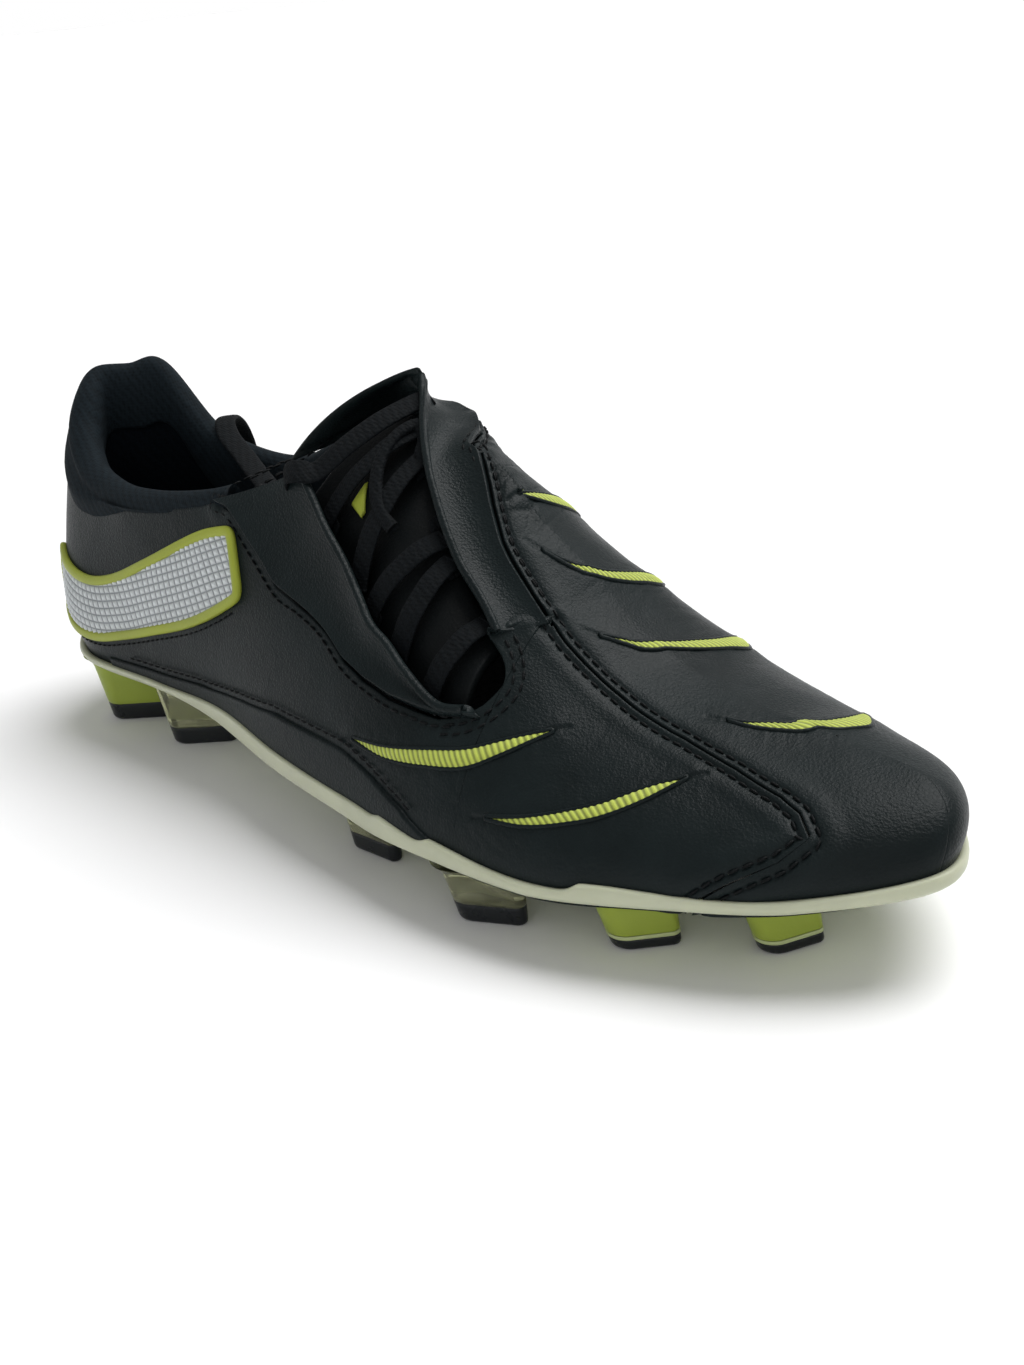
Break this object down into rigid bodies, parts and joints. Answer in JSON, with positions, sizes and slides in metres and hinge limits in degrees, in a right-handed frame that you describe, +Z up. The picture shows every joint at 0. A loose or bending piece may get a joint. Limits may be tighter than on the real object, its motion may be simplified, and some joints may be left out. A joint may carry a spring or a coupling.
{
  "type": "soccer cleat",
  "caption": "Low-cut right football boot with side-set lacing, moulded outsole and bladed studs, leather upper with slash inlays and a plain side crest.",
  "frame": {"origin": "centre of the bounding box in plan, on the ground under the studs", "axes": "+X toward the toe, +Y toward the inner side of the foot, +Z up, for a right shoe standing on its studs"},
  "size_m": [0.2995, 0.0967, 0.1036],
  "materials": {
    "pale_plate": "semi-gloss moulded",
    "pale_rim": "semi-gloss moulded",
    "lime_stud": "glossy moulded",
    "smoke_stud": "smoky translucent",
    "stud_tip": "glossy black",
    "board": "fibre board",
    "sockliner_foam": "brushed textile over foam",
    "stiffener": "thermoplastic sheet",
    "lining_knit": "fine knit",
    "foam": "open-cell foam",
    "collar_knit": "padded brushed textile",
    "black_leather": "fine grain",
    "dark_shell": "glossy dark translucent",
    "silver_film": "pearl film, embossed",
    "lime_border": "raised rubber",
    "lime_textile": "ribbed textile",
    "grey_leather": "soft grain",
    "lace_cord": "flat weave",
    "webbing": "narrow webbing"
  },
  "bodies": {
    "shoe": {"outsole_plate": "pale_plate", "outsole_rim": "pale_rim", "stud_heel_outer_rear": "lime_stud", "tip_heel_outer_rear": "stud_tip", "stud_heel_outer_front": "smoke_stud", "tip_heel_outer_front": "stud_tip", "stud_heel_inner_rear": "lime_stud", "tip_heel_inner_rear": "stud_tip", "stud_heel_inner_front": "smoke_stud", "tip_heel_inner_front": "stud_tip", "stud_fore_outer_a": "smoke_stud", "tip_fore_outer_a": "stud_tip", "stud_fore_outer_b": "smoke_stud", "tip_fore_outer_b": "stud_tip", "stud_fore_outer_c": "lime_stud", "tip_fore_outer_c": "stud_tip", "stud_fore_outer_d": "lime_stud", "tip_fore_outer_d": "stud_tip", "stud_fore_inner_a": "smoke_stud", "tip_fore_inner_a": "stud_tip", "stud_fore_inner_b": "lime_stud", "tip_fore_inner_b": "stud_tip", "stud_fore_inner_c": "lime_stud", "tip_fore_inner_c": "stud_tip", "insole_board": "board", "heel_counter": "stiffener", "toe_puff": "stiffener", "heel_lining": "lining_knit", "outer_lining": "lining_knit", "toe_lining": "lining_knit", "inner_lining": "lining_knit", "collar_foam": "foam", "collar_roll": "collar_knit", "vamp_and_inner_quarter": "black_leather", "outer_quarter": "black_leather", "heel_cap": "black_leather", "heel_clip": "dark_shell", "outer_eyestay": "black_leather", "inner_eyestay_flap": "black_leather", "outer_foxing": "black_leather", "inner_foxing": "black_leather", "outer_crest": "silver_film", "outer_crest_border": "lime_border", "inner_crest": "silver_film", "inner_crest_border": "lime_border", "outer_slashes": "lime_textile", "inner_slashes": "lime_textile", "lace": "lace_cord", "lace_tail": "lace_cord", "lace_aglet": "stud_tip", "outer_lace_loops": "webbing", "inner_lace_loops": "webbing"},
    "sockliner": {"sockliner": "sockliner_foam"},
    "tongue": {"tongue": "grey_leather", "tongue_mark": "lime_border"}
  },
  "joints": [
    {"name": "sockliner_lift", "type": "hinge", "parent": "shoe", "child": "sockliner", "pos_m": [0.143, -0.001, 0.0228], "axis": [0, 1, 0], "range_deg": [0, 2]},
    {"name": "tongue_fold", "type": "hinge", "parent": "shoe", "child": "tongue", "pos_m": [0.0455, -0.0265, 0.0445], "axis": [0.12, 0.7999, 0.588], "range_deg": [-3.5, 0]}
  ]
}
